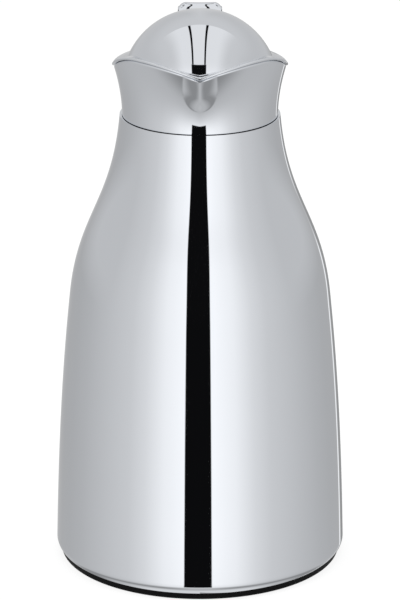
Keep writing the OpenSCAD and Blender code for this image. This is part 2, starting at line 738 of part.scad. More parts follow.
module thumb_lever() {
    color("silver") difference() {
        intersection() {
            union() {
                rotate([90, 0, 90]) linear_extrude(lever_w, center = true) lever_side();
                translate([-knuckle_half, hinge_y, hinge_z]) rotate([0, 90, 0])
                    cylinder(r = knuckle_r, h = 2 * knuckle_half);
            }
            translate([0, hinge_y + lever_h, 0]) rotate([90, 0, 0]) linear_extrude(3 * lever_h) lever_front();
        }
        lid_outline(fit);
        // Clearance round the bracket's ears
        for (s = [-1, 1]) translate([s * (knuckle_half + 10), hinge_y, hinge_z]) rotate([0, 90, 0])
            cylinder(r = knuckle_r + 0.6, h = 20, center = true);
        translate([0, hinge_y, hinge_z]) rotate([0, 90, 0]) {
            cylinder(r = knuckle_r + 0.4, h = 2 * spring_half, center = true);
            cylinder(r = pin_r + running, h = 2 * ear_out, center = true);
        }
        at_lever_screws() cylinder(r = lever_screw_r + fit, h = lever_screw_l + 0.4);
    }
}

outer_shell();
base_ring();
base_plate();
liner_cushion();
glass_liner();
mouth_seal();
neck_ring();
collar();
pour_insert();
hinge_bracket();
hinge_pin();
lid_spring();
handle();
handle_foot();
handle_screws();
foot_screw();
lid_shell();
dome_stud();
lid_pan();
pan_nut();
stopper_cup();
stopper_core();
stopper_seal();
thumb_lever();
lever_screws();
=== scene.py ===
"""A chrome vacuum jug: smooth plated shells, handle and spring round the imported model, and its studio."""

import json
import math

import bmesh
import bpy
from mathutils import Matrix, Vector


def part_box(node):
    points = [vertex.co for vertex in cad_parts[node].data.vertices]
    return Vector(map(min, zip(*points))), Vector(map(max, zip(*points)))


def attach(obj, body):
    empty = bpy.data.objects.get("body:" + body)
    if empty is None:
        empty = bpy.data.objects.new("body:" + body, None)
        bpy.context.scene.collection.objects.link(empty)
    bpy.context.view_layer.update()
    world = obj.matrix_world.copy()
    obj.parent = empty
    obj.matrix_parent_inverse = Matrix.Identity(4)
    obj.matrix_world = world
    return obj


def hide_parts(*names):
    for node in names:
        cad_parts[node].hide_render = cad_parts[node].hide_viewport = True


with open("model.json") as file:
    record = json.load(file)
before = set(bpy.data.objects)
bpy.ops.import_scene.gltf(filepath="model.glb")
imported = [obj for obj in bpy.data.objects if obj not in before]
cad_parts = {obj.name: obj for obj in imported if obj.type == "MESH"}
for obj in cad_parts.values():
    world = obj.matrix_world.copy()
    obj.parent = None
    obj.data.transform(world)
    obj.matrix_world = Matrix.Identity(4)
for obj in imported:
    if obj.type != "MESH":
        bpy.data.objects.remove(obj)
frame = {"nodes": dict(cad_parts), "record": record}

bl_info = {
    "name": "Vacuum jug",
    "version": (1, 0, 0),
    "blender": (4, 5, 0),
    "location": "3D View > Sidebar > Jug",
    "description": "A chrome vacuum jug with a beaked lid, a thumb lever and a loop handle",
    "category": "Object",
}

MM = 0.001
SHELL_LOW, SHELL_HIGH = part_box("outer_shell")
COLLAR_LOW, COLLAR_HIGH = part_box("collar")
LID_LOW, LID_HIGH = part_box("lid_shell")
LEVER_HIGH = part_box("thumb_lever")[1]
HINGE_Y, HINGE_Z = (p / MM for p in frame["record"]["behaviour"]["joints"][0]["pos_m"][1:])


def linear(code):
    """An sRGB hex colour as linear red, green, blue and alpha."""
    parts = [int(code[i:i + 2], 16) / 255 for i in (1, 3, 5)]
    return [p / 12.92 if p <= 0.04045 else ((p + 0.055) / 1.055) ** 2.4 for p in parts] + [1.0]


def add(tree, kind, settings=None, **inputs):
    """Adds a node with its settings; each input, by name or number (as _0, _1), takes a value or a link."""
    node = tree.nodes.new(kind)
    for key, value in (settings or {}).items():
        setattr(node, key, value)
    for key, value in inputs.items():
        socket = node.inputs[int(key[1:])] if key[0] == "_" else node.inputs[key.replace("_", " ")]
        if isinstance(value, bpy.types.NodeSocket):
            tree.links.new(value, socket)
        else:
            socket.default_value = value
    return node


# ---- Sizes and colours ----

class JugSizes(bpy.types.PropertyGroup):
    """Sizes of the plated shells and the handle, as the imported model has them."""

    body_radius: bpy.props.FloatProperty(
        name="Body radius", description="Largest radius of the body", default=SHELL_HIGH.x, unit="LENGTH")
    foot_height: bpy.props.FloatProperty(
        name="Foot height", description="Height of the body's lower edge", default=SHELL_LOW.z, unit="LENGTH")
    body_top: bpy.props.FloatProperty(
        name="Body top", description="Height of the body's upper edge", default=SHELL_HIGH.z, unit="LENGTH")
    neck_radius: bpy.props.FloatProperty(
        name="Neck radius", description="Radius of the body's upper edge", default=0.0375, unit="LENGTH")
    shell_wall: bpy.props.FloatProperty(
        name="Shell wall", description="Thickness of the spun body", default=0.0012, unit="LENGTH")
    collar_foot: bpy.props.FloatProperty(
        name="Collar foot", description="Height of the collar's lower edge", default=COLLAR_LOW.z,
        unit="LENGTH")
    collar_wall: bpy.props.FloatProperty(
        name="Collar wall", description="Thickness of the collar", default=0.0018, unit="LENGTH")
    belly_depth: bpy.props.FloatProperty(
        name="Belly depth", description="Depth of the swelling under the beak", default=0.0015, unit="LENGTH")
    lid_wall: bpy.props.FloatProperty(
        name="Lid wall", description="Thickness of the domed lid", default=0.0015, unit="LENGTH")
    grip_width: bpy.props.FloatProperty(
        name="Grip width", description="Width of the handle at the grip", default=0.022, unit="LENGTH")
    grip_thickness: bpy.props.FloatProperty(
        name="Grip thickness", description="Thickness of the handle at the grip", default=0.010,
        unit="LENGTH")
    wire_radius: bpy.props.FloatProperty(
        name="Wire radius", description="Wire radius of the lid's spring", default=0.00045, unit="LENGTH")


class JugColours(bpy.types.PropertyGroup):
    """Colours of the jug's finishes, before light falls on them."""

    chrome: bpy.props.FloatVectorProperty(
        name="Chrome", description="Tint of the chrome plating", subtype="COLOR", size=4,
        min=0, max=1, default=linear("#E9ECF1"))
    black_plastic: bpy.props.FloatVectorProperty(
        name="Black plastic", description="Colour of the moulded base, stopper and insert", subtype="COLOR",
        size=4, min=0, max=1, default=linear("#0C0C0D"))
    silicone: bpy.props.FloatVectorProperty(
        name="Silicone", description="Colour of the seals", subtype="COLOR", size=4,
        min=0, max=1, default=linear("#DAD9D3"))
    foam: bpy.props.FloatVectorProperty(
        name="Foam", description="Colour of the stopper's filling", subtype="COLOR", size=4,
        min=0, max=1, default=linear("#D9CDA6"))


def mm(name):
    """One of the jug's sizes, in millimetres."""
    return getattr(bpy.context.scene.jug_sizes, name) / MM


# ---- Outlines, in millimetres and degrees; an angle is measured from the beak ----

BODY_WIDEST_Z = 7.2
SHOULDER = (61.6, 130.0)
LID_GAP = 0.4
RIM_OVERHANG = 1.0
REAR_LIP_Z = LID_LOW.z / MM - LID_GAP
REAR_LIP_R = LID_HIGH.x / MM - RIM_OVERHANG
CREST_Z = COLLAR_HIGH.z / MM
BEAK_REACH = -LID_LOW.y / MM - RIM_OVERHANG
BEAK_DROOP = 5.25
SHOULDER_A = 40.0
FLARE_Z = 217.2
BELLY_Z = 228.7
BELLY_HALF_W = 7.9
SIDE_CREASE, REAR_CREASE, TIP_CREASE = 59.9, 66.3, 66.4
TIP_SOFT = 0.8  # the beak's tip is rounded over this many degrees
COLLAR_DROP = 0.6  # the collar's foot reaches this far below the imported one, for a thin seam
LIP_RAISE = 0.28  # and its lip this far above it, for a thin gap under the lid
BRIM_HEIGHT = 1.4
EASE_FROM = 21.0  # the lid's inside leaves the dome's form at this angle from the top
WELD = 1e-6  # corners closer than this many metres are joined


def smooth(t):
    """A soft step from 0 to 1."""
    t = min(max(t, 0.0), 1.0)
    return t * t * (3 - 2 * t)


def sin(a):
    return math.sin(math.radians(a))


def cos(a):
    return math.cos(math.radians(a))


def collar_radius():
    return mm("neck_radius") - 0.9


def collar_foot_radius():
    """The smooth flare begins right at the seam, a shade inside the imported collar's straight foot."""
    return collar_radius() - 0.25


def to_tip(a):
    """Share of the way from a shoulder of the lip (0) to the beak's tip (1)."""
    return 1 - sin(a) / sin(SHOULDER_A) if a < SHOULDER_A else 0.0


def lip_z(a):
    """Height of the pouring lip: it climbs to two shoulders and dips to the tip."""
    climb = smooth((93 - a) / 48) ** 0.65
    return REAR_LIP_Z + (CREST_Z - REAR_LIP_Z) * climb - BEAK_DROOP * to_tip(a) ** 1.65


def lip_r(a):
    """Radius of the pouring lip: round, drawn out a little to the beak's tip."""
    return REAR_LIP_R + (BEAK_REACH - REAR_LIP_R) * to_tip(a) ** 1.3


def belly(a, r, z):
    """How far the U-shaped belly swells under the beak, up to the lip."""
    t = max(z - BELLY_Z, 0) / (lip_z(a) - BELLY_Z)
    w = BELLY_HALF_W * math.sqrt(1 - (1 - min(t / 0.6, 1)) ** 2)
    x = r * sin(a)
    if a > 90 or x >= w:
        return 0.0
    return mm("belly_depth") * (1 - (x / w) ** 2) * sin(90 * min(t / 0.5, 1)) * (0.8 + 0.3 * t)


def collar_outside(a, z):
    """Radius of the collar's outside."""
    foot_r = collar_foot_radius()
    t = max(z - FLARE_Z, 0) / (lip_z(a) - FLARE_Z)
    r = foot_r + (REAR_LIP_R - foot_r) * t ** 1.9 + 0.45 * (lip_r(a) - REAR_LIP_R) * t ** 1.7
    return r + belly(a, r, z)


def rear_share(a):
    """0 along the beak and 1 round the back, where the lid has its broad brim."""
    return smooth((a - 42) / 50)


def crease_angle(a):
    """Angle from the dome's top down to the crease where it meets the brim."""
    return (SIDE_CREASE + (REAR_CREASE - SIDE_CREASE) * smooth((a - 67) / 25)
            + (TIP_CREASE - SIDE_CREASE) * to_tip(a))


def dome_point(v, r):
    return (r * sin(v), LID_HIGH.z / MM - collar_radius() + r * cos(v))


def between(p, q, t):
    return (p[0] + (q[0] - p[0]) * t, p[1] + (q[1] - p[1]) * t)


def step_from(p, q, d):
    """The point at distance d from p towards q, no farther than 45% of the way."""
    length = math.dist(p, q)
    return between(p, q, min(d / length, 0.45))


def ease_corners(points, rounds):
    """Cuts the corners of an open outline, so that it turns through soft radii."""
    for _ in range(rounds):
        eased = [points[0]]
        for p, q in zip(points, points[1:]):
            eased += [between(p, q, 0.25), between(p, q, 0.75)]
        points = eased + [points[-1]]
    return points


def round_angles():
    """Angles round the jug, close together at the beak."""
    half = [0.0]
    while half[-1] < 180:
        a = half[-1]
        half.append(a + (0.4 if a < 6 else 0.6 if a < 18 else 1.0 if a < 60 else 1.5))
    half = [min(a, 180.0) for a in half]
    return half + [360 - a for a in reversed(half[1:-1])]


# ---- Meshes ----

def new_piece(name, mesh):
    piece = bpy.data.objects.new(name, mesh)
    bpy.context.scene.collection.objects.link(piece)
    return piece


def piece_from(name, shape):
    """A new piece from a finished shape."""
    mesh = bpy.data.meshes.new(name)
    shape.to_mesh(mesh)
    shape.free()
    return new_piece(name, mesh)


def shape_of(mesh):
    """A mesh opened for changes, its doubled corners joined."""
    shape = bmesh.new()
    shape.from_mesh(mesh)
    bmesh.ops.remove_doubles(shape, verts=shape.verts, dist=WELD)
    return shape


def loft(name, sections, closed):
    """A skin through one section for each angle round the jug. A closed section runs back to its first
    point; an open one starts and ends on the axis."""
    angles = round_angles()
    shape = bmesh.new()
    columns = [[shape.verts.new((r * sin(a) * MM, -r * cos(a) * MM, z * MM)) for r, z in section]
               for a, section in zip(angles, sections)]
    for i, left in enumerate(columns):
        right = columns[(i + 1) % len(columns)]
        for j in range(len(left) - (0 if closed else 1)):
            k = (j + 1) % len(left)
            shape.faces.new((left[j], right[j], right[k], left[k]))
    bmesh.ops.remove_doubles(shape, verts=shape.verts, dist=WELD)
    bmesh.ops.recalc_face_normals(shape, faces=shape.faces)
    return finish_mesh(piece_from(name, shape), 32)


def finish_mesh(piece, sharp_angle):
    """Smooth shading, with hard edges only where the real one has them."""
    piece.data.shade_smooth()
    piece.data.set_sharp_from_angle(angle=math.radians(sharp_angle))
    return piece


def settle(piece):
    """Turns what the modifiers make into a plain mesh and removes them."""
    piece.data = bpy.data.meshes.new_from_object(
        piece.evaluated_get(bpy.context.evaluated_depsgraph_get()))
    piece.modifiers.clear()
    piece.data.name = piece.name
    return piece


def grow(name, tree, material, **values):
    """A new piece from a geometry tree, with its inputs set by name."""
    piece = new_piece(name, bpy.data.meshes.new(name))
    nodes = piece.modifiers.new(name, "NODES")
    nodes.node_group = tree
    sockets = {s.name: s.identifier for s in tree.interface.items_tree if s.in_out == "INPUT"}
    nodes[sockets["Material"]] = material
    for key, value in values.items():
        nodes[sockets[key.replace("_", " ")]] = value
    return settle(piece)


def tree_with(name, **sockets):
    """A geometry tree with named inputs of the given kinds, a material input and one result."""
    tree = bpy.data.node_groups.new(name, "GeometryNodeTree")
    for key, kind in {**sockets, "Material": "NodeSocketMaterial"}.items():
        tree.interface.new_socket(key.replace("_", " "), in_out="INPUT", socket_type=kind)
    tree.interface.new_socket("Geometry", in_out="OUTPUT", socket_type="NodeSocketGeometry")
    return tree, tree.nodes.new("NodeGroupInput").outputs


def end_tree(tree, geometry, material):
    """Ends a tree: real geometry, one material, one result."""
    real = add(tree, "GeometryNodeRealizeInstances", _0=geometry)
    painted = add(tree, "GeometryNodeSetMaterial", Geometry=real.outputs[0], Material=material)
    add(tree, "NodeGroupOutput", _0=painted.outputs[0])


def turn_outwards(piece):
    """Faces of an open skin round the Z axis are turned away from the axis."""
    shape = shape_of(piece.data)
    bmesh.ops.recalc_face_normals(shape, faces=shape.faces)
    shape.faces.ensure_lookup_table()
    face = max(shape.faces, key=lambda f: f.calc_center_median().xy.length)
    if face.normal.xy.dot(face.calc_center_median().xy) < 0:
        bmesh.ops.reverse_faces(shape, faces=shape.faces)
    shape.to_mesh(piece.data)
    shape.free()


def close_ends(piece):
    """Caps the open ends of a tube."""
    shape = shape_of(piece.data)
    bmesh.ops.holes_fill(shape, edges=[e for e in shape.edges if e.is_boundary])
    bmesh.ops.recalc_face_normals(shape, faces=shape.faces)
    shape.to_mesh(piece.data)
    shape.free()


# ---- Materials ----

def new_material(name):
    """A material with its shader and a socket that gives places on the piece, in metres."""
    material = bpy.data.materials.new(name)
    material.use_nodes = True
    tree = material.node_tree
    shader = tree.nodes["Principled BSDF"]
    place = add(tree, "ShaderNodeTexCoord").outputs["Object"]
    return material, tree, shader, place


def shaded(colour, share):
    """A colour made darker or lighter."""
    return [c * share for c in colour[:3]] + [1.0]


def chrome_plating():
    """Decorative chrome over polished metal: a cold, blue-grey mirror. The buffed metal under the plating
    leaves waves about 20 mm long in it, far too shallow to feel, and a faint haze that varies by the inch."""
    material, tree, shader, place = new_material("chrome_plating_polished")
    tint = bpy.context.scene.jug_colours.chrome
    haze = add(tree, "ShaderNodeTexNoise", Vector=place, Scale=45.0, Detail=3.0, Roughness=0.5)
    colour = add(tree, "ShaderNodeMix", {"data_type": "RGBA"}, _0=haze.outputs[0],
                 _6=shaded(tint, 0.985), _7=list(tint))
    tree.links.new(colour.outputs[2], shader.inputs["Base Color"])
    rough = add(tree, "ShaderNodeMapRange", Value=haze.outputs[0], From_Min=0.3, From_Max=0.7,
                To_Min=0.012, To_Max=0.034)
    tree.links.new(rough.outputs[0], shader.inputs["Roughness"])
    waves = add(tree, "ShaderNodeTexNoise", Vector=place, Scale=50.0, Detail=0.0)
    relief = add(tree, "ShaderNodeBump", Height=waves.outputs[0], Strength=0.5, Distance=0.00001)
    tree.links.new(relief.outputs[0], shader.inputs["Normal"])
    shader.inputs["Metallic"].default_value = 1.0
    return material


def moulded_plastic():
    """Black polypropylene from a spark-eroded mould: near black, low satin gloss over a 0.5 mm grain."""
    material, tree, shader, place = new_material("polypropylene_black_moulded")
    tint = bpy.context.scene.jug_colours.black_plastic
    cloud = add(tree, "ShaderNodeTexNoise", Vector=place, Scale=120.0, Detail=2.0)
    colour = add(tree, "ShaderNodeMix", {"data_type": "RGBA"}, _0=cloud.outputs[0],
                 _6=shaded(tint, 0.8), _7=shaded(tint, 1.25))
    tree.links.new(colour.outputs[2], shader.inputs["Base Color"])
    grain = add(tree, "ShaderNodeTexVoronoi", Vector=place, Scale=2000.0)
    rough = add(tree, "ShaderNodeMapRange", Value=grain.outputs[0], From_Min=0.0, From_Max=0.8,
                To_Min=0.42, To_Max=0.55)
    tree.links.new(rough.outputs[0], shader.inputs["Roughness"])
    relief = add(tree, "ShaderNodeBump", Height=grain.outputs[0], Strength=0.35, Distance=0.00004)
    tree.links.new(relief.outputs[0], shader.inputs["Normal"])
    shader.inputs["IOR"].default_value = 1.49
    shader.inputs["Specular IOR Level"].default_value = 0.1
    return material


def silicone_rubber():
    """Food-grade silicone, moulded: milky, soft satin, with a dusting of fine marks."""
    material, tree, shader, place = new_material("silicone_moulded")
    tint = bpy.context.scene.jug_colours.silicone
    marks = add(tree, "ShaderNodeTexNoise", Vector=place, Scale=400.0, Detail=4.0)
    colour = add(tree, "ShaderNodeMix", {"data_type": "RGBA"}, _0=marks.outputs[0],
                 _6=shaded(tint, 0.9), _7=list(tint))
    tree.links.new(colour.outputs[2], shader.inputs["Base Color"])
    rough = add(tree, "ShaderNodeMapRange", Value=marks.outputs[0], To_Min=0.4, To_Max=0.6)
    tree.links.new(rough.outputs[0], shader.inputs["Roughness"])
    relief = add(tree, "ShaderNodeBump", Height=marks.outputs[0], Strength=0.2, Distance=0.00005)
    tree.links.new(relief.outputs[0], shader.inputs["Normal"])
    shader.inputs["IOR"].default_value = 1.41
    shader.inputs["Subsurface Weight"].default_value = 0.15
    shader.inputs["Subsurface Radius"].default_value = (0.002, 0.002, 0.0015)
    return material


def silvered_glass():
    """Borosilicate vacuum liner, silvered inside its walls: a mirror seen through clear blown glass."""
    material, tree, shader, place = new_material("borosilicate_glass_silvered")
    drift = add(tree, "ShaderNodeTexNoise", Vector=place, Scale=30.0, Detail=1.0)
    colour = add(tree, "ShaderNodeMix", {"data_type": "RGBA"}, _0=drift.outputs[0],
                 _6=linear("#C4C9C8"), _7=linear("#DADDDB"))
    tree.links.new(colour.outputs[2], shader.inputs["Base Color"])
    relief = add(tree, "ShaderNodeBump", Height=drift.outputs[0], Strength=0.4, Distance=0.0004)
    tree.links.new(relief.outputs[0], shader.inputs["Normal"])
    shader.inputs["Metallic"].default_value = 1.0
    shader.inputs["Roughness"].default_value = 0.06
    shader.inputs["Coat Weight"].default_value = 1.0
    shader.inputs["Coat IOR"].default_value = 1.47
    shader.inputs["Coat Roughness"].default_value = 0.01
    return material


def bright_steel():
    """Cold-drawn stainless steel wire, rod and screws: bright, with drawing lines 0.3 mm apart."""
    material, tree, shader, place = new_material("stainless_steel_drawn")
    stretched = add(tree, "ShaderNodeMapping", Vector=place, Scale=(0.08, 1.0, 1.0))
    lines = add(tree, "ShaderNodeTexNoise", Vector=stretched.outputs[0], Scale=3300.0, Detail=3.0)
    colour = add(tree, "ShaderNodeMix", {"data_type": "RGBA"}, _0=lines.outputs[0],
                 _6=linear("#B4B4B2"), _7=linear("#CDCDCA"))
    tree.links.new(colour.outputs[2], shader.inputs["Base Color"])
    rough = add(tree, "ShaderNodeMapRange", Value=lines.outputs[0], To_Min=0.18, To_Max=0.36)
    tree.links.new(rough.outputs[0], shader.inputs["Roughness"])
    shader.inputs["Metallic"].default_value = 1.0
    return material


def cell_foam():
    """Rigid polyurethane foam: cream, matt, with cells about 0.8 mm across."""
    material, tree, shader, place = new_material("polyurethane_foam_rigid")
    tint = bpy.context.scene.jug_colours.foam
    cells = add(tree, "ShaderNodeTexVoronoi", Vector=place, Scale=1250.0)
    colour = add(tree, "ShaderNodeMix", {"data_type": "RGBA"}, _0=cells.outputs[0],
                 _6=shaded(tint, 0.75), _7=list(tint))
    tree.links.new(colour.outputs[2], shader.inputs["Base Color"])
    relief = add(tree, "ShaderNodeBump", Height=cells.outputs[0], Strength=0.6, Distance=0.0002)
    tree.links.new(relief.outputs[0], shader.inputs["Normal"])
    shader.inputs["Roughness"].default_value = 0.9
    return material


FINISHES = {
    "chrome": chrome_plating,
    "black_plastic": moulded_plastic,
    "black_rubber": moulded_plastic,
    "silicone": silicone_rubber,
    "silvered_glass": silvered_glass,
    "steel": bright_steel,
    "foam": cell_foam,
}
MADE = {}  # the materials made so far, by slot


def finish_for(slot):
    """The material of one of the record's slots, made once."""
    if slot not in MADE:
        MADE[slot] = FINISHES[slot]()
    return MADE[slot]


def dress(piece, slot, body, *nodes):
    """Gives a piece its finish and its body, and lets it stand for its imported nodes."""
    if not piece.data.materials:
        piece.data.materials.append(finish_for(slot))
    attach(piece, body)
    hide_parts(*nodes)


# ---- Pieces ----

def spun_shell_tree():
    """A skin spun round Z: a foot tuck, a tall wall and an S-shaped shoulder, each a drawn curve."""
    points = ["Foot", "Tuck", "Widest", "Wall_1", "Wall_2", "Shoulder", "Shoulder_1", "Shoulder_2", "Neck"]
    tree, given = tree_with("spun_shell", **{p: "NodeSocketVector" for p in points},
                            Columns="NodeSocketInt", Rows="NodeSocketInt")
    tuck = add(tree, "GeometryNodeCurveQuadraticBezier", Resolution=64, Start=given["Foot"],
               Middle=given["Tuck"], End=given["Widest"])
    wall = add(tree, "GeometryNodeCurvePrimitiveBezierSegment", Resolution=256, Start=given["Widest"],
               Start_Handle=given["Wall 1"], End_Handle=given["Wall 2"], End=given["Shoulder"])
    shoulder = add(tree, "GeometryNodeCurvePrimitiveBezierSegment", Resolution=256,
                   Start=given["Shoulder"], Start_Handle=given["Shoulder 1"],
                   End_Handle=given["Shoulder 2"], End=given["Neck"])
    sheet = add(tree, "GeometryNodeMeshGrid", Size_X=1.0, Size_Y=1.0, Vertices_X=given["Columns"],
                Vertices_Y=given["Rows"])
    flat = add(tree, "ShaderNodeSeparateXYZ", _0=add(tree, "GeometryNodeInputPosition").outputs[0])
    turn = add(tree, "ShaderNodeMapRange", Value=flat.outputs[0], From_Min=-0.5, From_Max=0.5,
               To_Min=0.0, To_Max=2 * math.pi)
    # The sheet's height is shared out: 6% to the tuck, 46% to the wall, 48% to the shoulder
    low, high = -0.44, 0.02
    places = []
    for curve, start, end in ((tuck, -0.5, low), (wall, low, high), (shoulder, high, 0.5)):
        share = add(tree, "ShaderNodeMapRange", Value=flat.outputs[1], From_Min=start, From_Max=end)
        places.append(add(tree, "GeometryNodeSampleCurve", {"mode": "FACTOR"}, Curves=curve.outputs[0],
                          Factor=share.outputs[0]).outputs["Position"])
    past_tuck = add(tree, "FunctionNodeCompare", {"operation": "GREATER_THAN"}, _0=flat.outputs[1], _1=low)
    past_wall = add(tree, "FunctionNodeCompare", {"operation": "GREATER_THAN"}, _0=flat.outputs[1], _1=high)
    lower = add(tree, "GeometryNodeSwitch", {"input_type": "VECTOR"}, _0=past_tuck.outputs[0],
                _1=places[0], _2=places[1])
    line = add(tree, "GeometryNodeSwitch", {"input_type": "VECTOR"}, _0=past_wall.outputs[0],
               _1=lower.outputs[0], _2=places[2])
    outline = add(tree, "ShaderNodeSeparateXYZ", _0=line.outputs[0])
    east = add(tree, "ShaderNodeMath", {"operation": "SINE"}, _0=turn.outputs[0])
    north = add(tree, "ShaderNodeMath", {"operation": "COSINE"}, _0=turn.outputs[0])
    x = add(tree, "ShaderNodeMath", {"operation": "MULTIPLY"}, _0=outline.outputs[0], _1=east.outputs[0])
    y = add(tree, "ShaderNodeMath", {"operation": "MULTIPLY"}, _0=outline.outputs[0], _1=north.outputs[0])
    place = add(tree, "ShaderNodeCombineXYZ", _0=x.outputs[0], _1=y.outputs[0], _2=outline.outputs[2])
    spun = add(tree, "GeometryNodeSetPosition", Geometry=sheet.outputs[0], Position=place.outputs[0])
    joined = add(tree, "GeometryNodeMergeByDistance", Geometry=spun.outputs[0], Distance=0.000002)
    end_tree(tree, joined.outputs[0], given["Material"])
    return tree


class JUG_OT_body(bpy.types.Operator):
    """Spins the chrome body"""

    bl_idname = "jug.body"
    bl_label = "Body"

    def execute(self, context):
        body_r, foot_z = mm("body_radius"), mm("foot_height")
        top_z, neck_r = mm("body_top"), mm("neck_radius")
        wall_h = SHOULDER[1] - BODY_WIDEST_Z
        neck_h = top_z - SHOULDER[1]
        lean = 0.106
        # The handles of the drawn curves lie at shares of the wall's and the neck's height
        outline = {
            "Foot": (body_r - 1.6, foot_z + 0.25),
            "Tuck": (body_r, (foot_z + BODY_WIDEST_Z) / 2),
            "Widest": (body_r, BODY_WIDEST_Z),
            "Wall_1": (body_r - 0.2 * (body_r - SHOULDER[0]), BODY_WIDEST_Z + 0.5 * wall_h),
            "Wall_2": (SHOULDER[0] + lean * 0.22 * wall_h, SHOULDER[1] - 0.22 * wall_h),
            "Shoulder": SHOULDER,
            "Shoulder_1": (SHOULDER[0] - lean * 0.43 * neck_h, SHOULDER[1] + 0.43 * neck_h),
            "Shoulder_2": (neck_r + 0.045 * neck_h, top_z - 0.5 * neck_h),
            "Neck": (neck_r, top_z),
        }
        piece = grow("chrome_body", spun_shell_tree(), finish_for("chrome"), Columns=289, Rows=201,
                     **{k: (p[0] * MM, 0.0, p[1] * MM) for k, p in outline.items()})
        turn_outwards(piece)
        wall = piece.modifiers.new("wall", "SOLIDIFY")
        wall.thickness = context.scene.jug_sizes.shell_wall
        wall.offset = -1
        finish_mesh(settle(piece), 40)
        dress(piece, "chrome", "jug", "outer_shell")
        return {"FINISHED"}


class JUG_OT_base(bpy.types.Operator):
    """Turns the moulded base ring with its soft lower edge"""

    bl_idname = "jug.base"
    bl_label = "Base ring"

    def execute(self, context):
        foot_z, foot_r, soft = mm("foot_height"), mm("body_radius") - 2.2, 1.5
        bore, top, rib = 55.2, 12.3, foot_r - 0.9
        edge = [(foot_r - soft + soft * sin(15 * i), soft - soft * cos(15 * i)) for i in range(7)]
        section = [(bore, 0.8), (bore + 0.8, 0)] + edge + [
            (foot_r + 0.1, foot_z + 0.15), (rib, foot_z + 0.15), (rib, top), (rib - 2, top),
            (rib - 2, foot_z + 1.5), (bore + 2.5, foot_z + 1.5), (bore + 2.5, top), (bore, top)]
        piece = loft("moulded_base_ring", [section] * len(round_angles()), True)
        dress(piece, "black_plastic", "jug", "base_ring")
        return {"FINISHED"}


class JUG_OT_collar(bpy.types.Operator):
    """Draws out the pouring collar and its beak"""

    bl_idname = "jug.collar"
    bl_label = "Collar"

    def execute(self, context):
        foot_z = mm("collar_foot") - COLLAR_DROP
        sections = []
        for angle in round_angles():
            a = math.hypot(min(angle, 360 - angle), TIP_SOFT)
            top = lip_z(a) + LIP_RAISE
            heights = [foot_z + 0.975 * (top - foot_z) * (i / 64) for i in range(65)]
            outer = [(collar_outside(a, z), z) for z in heights]
            inner = [(r - mm("collar_wall") + 0.2, z) for r, z in outer[::-2]]
            # Over the last of its height the lip is rolled from the outside to the inside
            mid, half = (outer[-1][0] + inner[0][0]) / 2, (outer[-1][0] - inner[0][0]) / 2
            lip = [(mid + half * cos(15 * i), heights[-1] + (top - heights[-1]) * sin(15 * i))
                   for i in range(1, 12)]
            sections.append(outer + lip + inner)
        piece = loft("chrome_collar", sections, True)
        dress(piece, "chrome", "jug", "collar")
        return {"FINISHED"}


class JUG_OT_lid(bpy.types.Operator):
    """Presses the domed lid with its brim and beak"""

    bl_idname = "jug.lid"
    bl_label = "Lid"

    def execute(self, context):
        wall = mm("lid_wall")
        sections = []
        for angle in round_angles():
            a = math.hypot(min(angle, 360 - angle), TIP_SOFT)
            share = rear_share(a)
            out, z, h = lip_r(a), lip_z(a) + LID_GAP, BRIM_HEIGHT
            edge = crease_angle(a)
            fold = dome_point(edge, collar_radius())
            under = (fold[0] - wall, fold[1] - wall - 0.15 - 0.35 * share)
            # The inside keeps the dome's form and is eased out to its own crease
            own = dome_point(edge, collar_radius() - wall)
            inside = []
            for i in range(22):
                v = edge * i / 21
                p = dome_point(v, collar_radius() - wall)
                g = (max(v - EASE_FROM, 0) / (edge - EASE_FROM)) ** 2
                inside.append((p[0] + g * (under[0] - own[0]), p[1] + g * (under[1] - own[1])))
            brow = (out - 0.2, z + h)
            # The crease is filled a little, more at the rear than along the beak
            near = 0.4 + 0.6 * share
            rim = [(out - 1.6, z), (out + 0.1, z), (out + 0.55, z + 0.06 * h), (out + 0.96, z + 0.35 * h),
                   (out + 0.8, z + 0.78 * h), (out + 0.35, z + 0.97 * h), brow,
                   step_from(fold, brow, 2 * near), step_from(fold, brow, near)]
            fillet_end = edge - math.degrees(near / collar_radius())
            rim = [rim[0]] + ease_corners(rim[1:] + [fold, dome_point(fillet_end, collar_radius())], 2)
            dome = [dome_point(fillet_end * (1 - i / 44), collar_radius()) for i in range(1, 45)]
            sections.append(inside + rim + dome)
        piece = loft("chrome_lid", sections, False)
        dress(piece, "chrome", "lid", "lid_shell")
        return {"FINISHED"}


